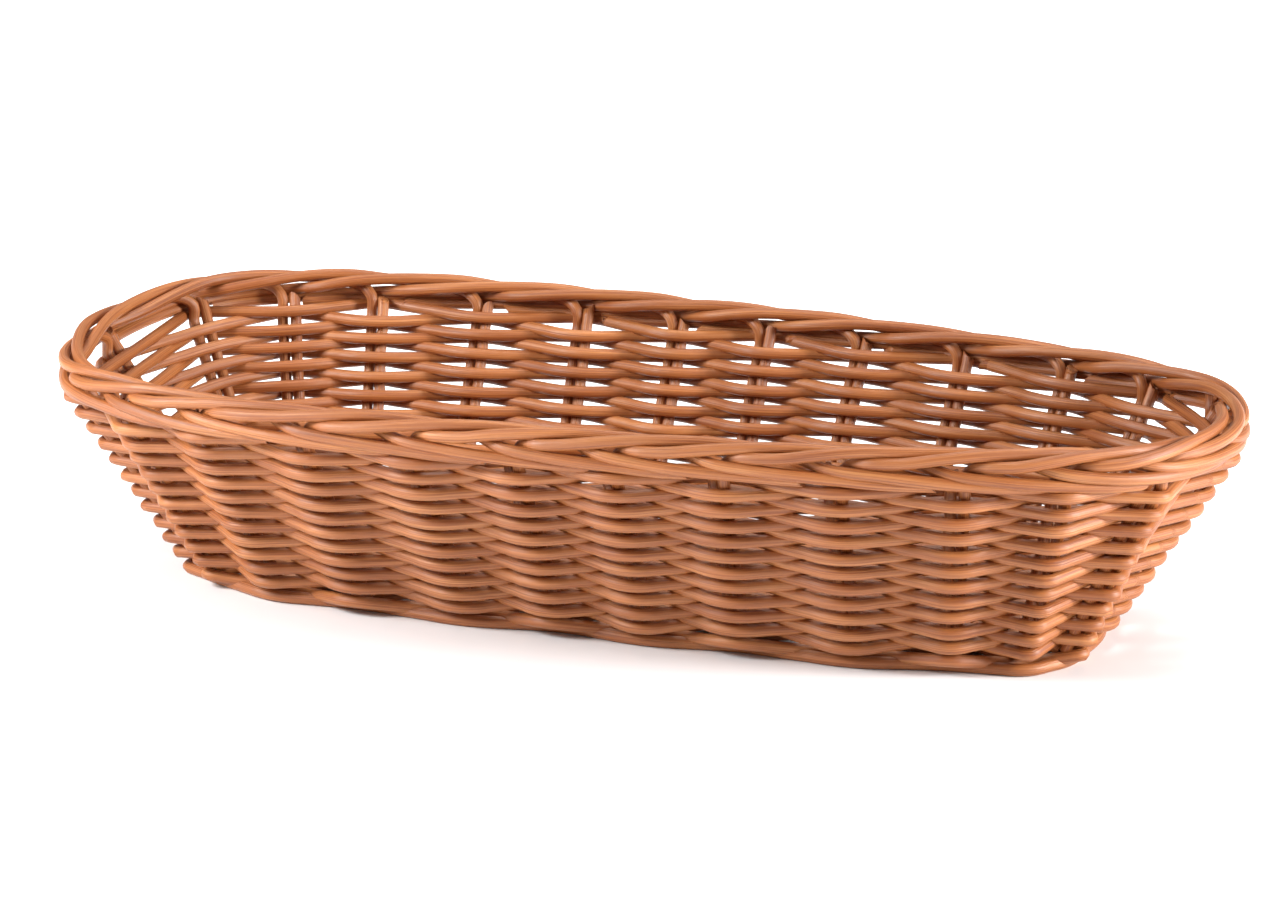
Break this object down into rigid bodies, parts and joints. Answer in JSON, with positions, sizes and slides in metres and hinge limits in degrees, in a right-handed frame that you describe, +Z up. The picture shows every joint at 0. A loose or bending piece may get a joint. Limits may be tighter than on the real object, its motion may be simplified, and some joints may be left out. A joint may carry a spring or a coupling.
{
  "type": "woven bread basket",
  "caption": "Long oval bread basket hand woven from round plastic rattan strand, with leaning walls, paired stakes and a plaited rolled border.",
  "frame": {"origin": "on the surface the basket stands on, under the centre of the basket", "axes": "+X along the basket's length, +Y across its width, +Z up"},
  "size_m": [0.3714, 0.1733, 0.0787],
  "materials": {
    "strand": "satin, finely grooved along the strand"
  },
  "bodies": {
    "root": {"base_ring_1": "strand", "base_ring_2": "strand", "base_ring_3": "strand", "base_ring_4": "strand", "base_ring_5": "strand", "base_ring_6": "strand", "base_ring_7": "strand", "base_ring_8": "strand", "corner_sticks": "strand", "cross_sticks": "strand", "foot_ring": "strand", "long_sticks": "strand", "stake_pair_01": "strand", "stake_pair_02": "strand", "stake_pair_03": "strand", "stake_pair_04": "strand", "stake_pair_05": "strand", "stake_pair_06": "strand", "stake_pair_07": "strand", "stake_pair_08": "strand", "stake_pair_09": "strand", "stake_pair_10": "strand", "stake_pair_11": "strand", "stake_pair_12": "strand", "stake_pair_13": "strand", "stake_pair_14": "strand", "stake_pair_15": "strand", "stake_pair_16": "strand", "stake_pair_17": "strand", "stake_pair_18": "strand", "stake_pair_19": "strand", "stake_pair_20": "strand", "stake_pair_21": "strand", "stake_pair_22": "strand", "stake_pair_23": "strand", "stake_pair_24": "strand", "stake_pair_25": "strand", "stake_pair_26": "strand", "wall_row_01": "strand", "wall_row_02": "strand", "wall_row_03": "strand", "wall_row_04": "strand", "wall_row_05": "strand", "wall_row_06": "strand", "wall_row_07": "strand", "wall_row_08": "strand", "wall_row_09": "strand", "wall_row_10": "strand", "wall_row_11": "strand", "wall_row_12": "strand", "wall_row_13": "strand", "wall_row_14": "strand", "wall_row_15": "strand", "wall_row_16": "strand", "wall_row_17": "strand", "wall_row_18": "strand", "wall_row_19": "strand", "wall_row_20": "strand", "wall_row_21": "strand", "wall_row_22": "strand"}
  },
  "joints": []
}
